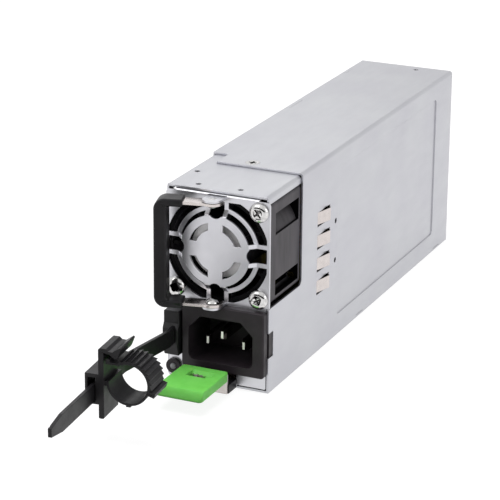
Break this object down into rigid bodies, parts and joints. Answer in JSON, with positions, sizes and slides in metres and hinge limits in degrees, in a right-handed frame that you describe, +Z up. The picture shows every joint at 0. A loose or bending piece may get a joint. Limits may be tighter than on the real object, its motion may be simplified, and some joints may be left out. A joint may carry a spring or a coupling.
{
  "type": "hot swap server power supply",
  "caption": "Tall narrow hot swap power supply with a fan guard, swinging bail handle, mains inlet, sprung release latch and sliding cord clamp.",
  "frame": {"origin": "middle of the case's flat bottom face, across its width and along its length from face plate to rear panel", "axes": "+Y from the face plate towards the rear panel and card edge, +Z up through the fan, +X to the right as one looks at the face"},
  "size_m": [0.0417, 0.2926, 0.0735],
  "materials": {
    "zinc_steel": "zinc-plated sheet steel, satin",
    "bright_screw": "nickel-plated steel, bright",
    "fan_plastic": "black glass-filled polyester",
    "label_foil": "bare foil label",
    "steel_pin": "ground steel",
    "sintered_magnet": "sintered ferrite",
    "bearing_bronze": "sintered bronze",
    "copper_wire": "enamelled copper wire",
    "black_nylon": "black moulded nylon",
    "nickel_steel": "nickel-plated spring steel",
    "inlet_plastic": "black polyamide",
    "tin_pin": "nickel-plated brass",
    "wire_sheath": "insulated wire",
    "lamp_lens": "frosted light pipe",
    "green_plastic": "green moulded plastic",
    "circuit_board": "green solder mask on glass-epoxy",
    "gold_pad": "gold plating",
    "plated_brass": "plated brass",
    "polyester_film": "black polyester film",
    "film_box": "potted plastic case",
    "ceramic_disc": "coated ceramic",
    "sleeve_plastic": "shrink sleeve",
    "heatsink_aluminium": "extruded aluminium",
    "moulded_package": "moulded epoxy"
  },
  "bodies": {
    "case": {"base_tray": "zinc_steel", "cover": "zinc_steel", "rear_panel": "zinc_steel", "face_plate": "zinc_steel", "cover_screws": "bright_screw", "guard_screws": "bright_screw", "fan_frame": "fan_plastic", "handle_rivets": "bright_screw", "inlet_housing": "inlet_plastic", "inlet_pins": "tin_pin", "strap_anchor": "black_nylon", "cord_strap": "black_nylon", "lamp_ring": "inlet_plastic", "lamp_lens": "lamp_lens", "latch_pin": "steel_pin", "main_board": "circuit_board", "fan_label": "label_foil", "fan_bearing": "bearing_bronze", "fan_stator": "sintered_magnet", "fan_coils": "copper_wire", "inlet_wires": "wire_sheath", "emi_strip": "nickel_steel", "edge_contacts": "gold_pad", "standoffs": "plated_brass", "board_screws": "steel_pin", "insulating_film": "polyester_film", "filter_cores": "sintered_magnet", "filter_windings": "copper_wire", "film_capacitors": "film_box", "safety_capacitors": "ceramic_disc", "fuse": "ceramic_disc", "relay": "film_box", "thermistor": "ceramic_disc", "pfc_core": "sintered_magnet", "pfc_winding": "copper_wire", "bulk_capacitor": "sleeve_plastic", "primary_heatsink": "heatsink_aluminium", "bridge_rectifier": "moulded_package", "power_transistors": "moulded_package", "transformer_core": "sintered_magnet", "transformer_winding": "copper_wire", "secondary_heatsink": "heatsink_aluminium", "output_capacitors": "sleeve_plastic", "control_board": "circuit_board", "fan_plug": "film_box"},
    "fan": {"fan_rotor": "fan_plastic", "fan_shaft": "steel_pin", "fan_magnet": "sintered_magnet"},
    "handle": {"handle_grip": "black_nylon", "handle_lugs": "nickel_steel"},
    "latch": {"latch_cap": "green_plastic", "latch_lever": "nickel_steel", "latch_block": "black_nylon", "latch_spring": "nickel_steel"},
    "clamp": {"cable_clamp": "black_nylon"},
    "band": {"clamp_band": "black_nylon"},
    "pawl": {"clamp_pawl": "black_nylon"},
    "fingers": {"emi_fingers": "nickel_steel"}
  },
  "joints": [
    {"name": "fan_spin", "type": "hinge", "parent": "case", "child": "fan", "pos_m": [0, -0.0775, 0.051], "axis": [0, 1, 0], "continuous": true},
    {"name": "handle_swing", "type": "hinge", "parent": "case", "child": "handle", "pos_m": [0, -0.0968, 0.051], "axis": [0, 0, 1], "range_deg": [-10, 75]},
    {"name": "latch_press", "type": "hinge", "parent": "case", "child": "latch", "pos_m": [-0.001, -0.0505, 0.003], "axis": [-1, 0, 0], "range_deg": [0, 3], "stiffness_Nm_per_rad": 2, "deforming": ["latch_spring"]},
    {"name": "clamp_slide", "type": "slide", "parent": "case", "child": "clamp", "axis": [0.0924, -0.9957, 0], "range_m": [-0.012, 0.028]},
    {"name": "clamp_open", "type": "hinge", "parent": "clamp", "child": "band", "pos_m": [0.00549, -0.14818, 0.01984], "axis": [-0.0924, 0.9957, 0], "range_deg": [0, 22], "stiffness_Nm_per_rad": 0.02},
    {"name": "clamp_release", "type": "hinge", "parent": "clamp", "child": "pawl", "pos_m": [-0.01424, -0.15002, 0.0331], "axis": [0.0924, -0.9957, 0], "range_deg": [0, 66], "stiffness_Nm_per_rad": 0.02},
    {"name": "finger_flex", "type": "hinge", "parent": "case", "child": "fingers", "pos_m": [0.01897, -0.0492, 0.0413], "axis": [0, 0, 1], "range_deg": [0, 8], "stiffness_Nm_per_rad": 0.25}
  ],
  "couplings": [
    {"joint": "clamp_release", "follows": "clamp_open", "ratio": 3}
  ]
}
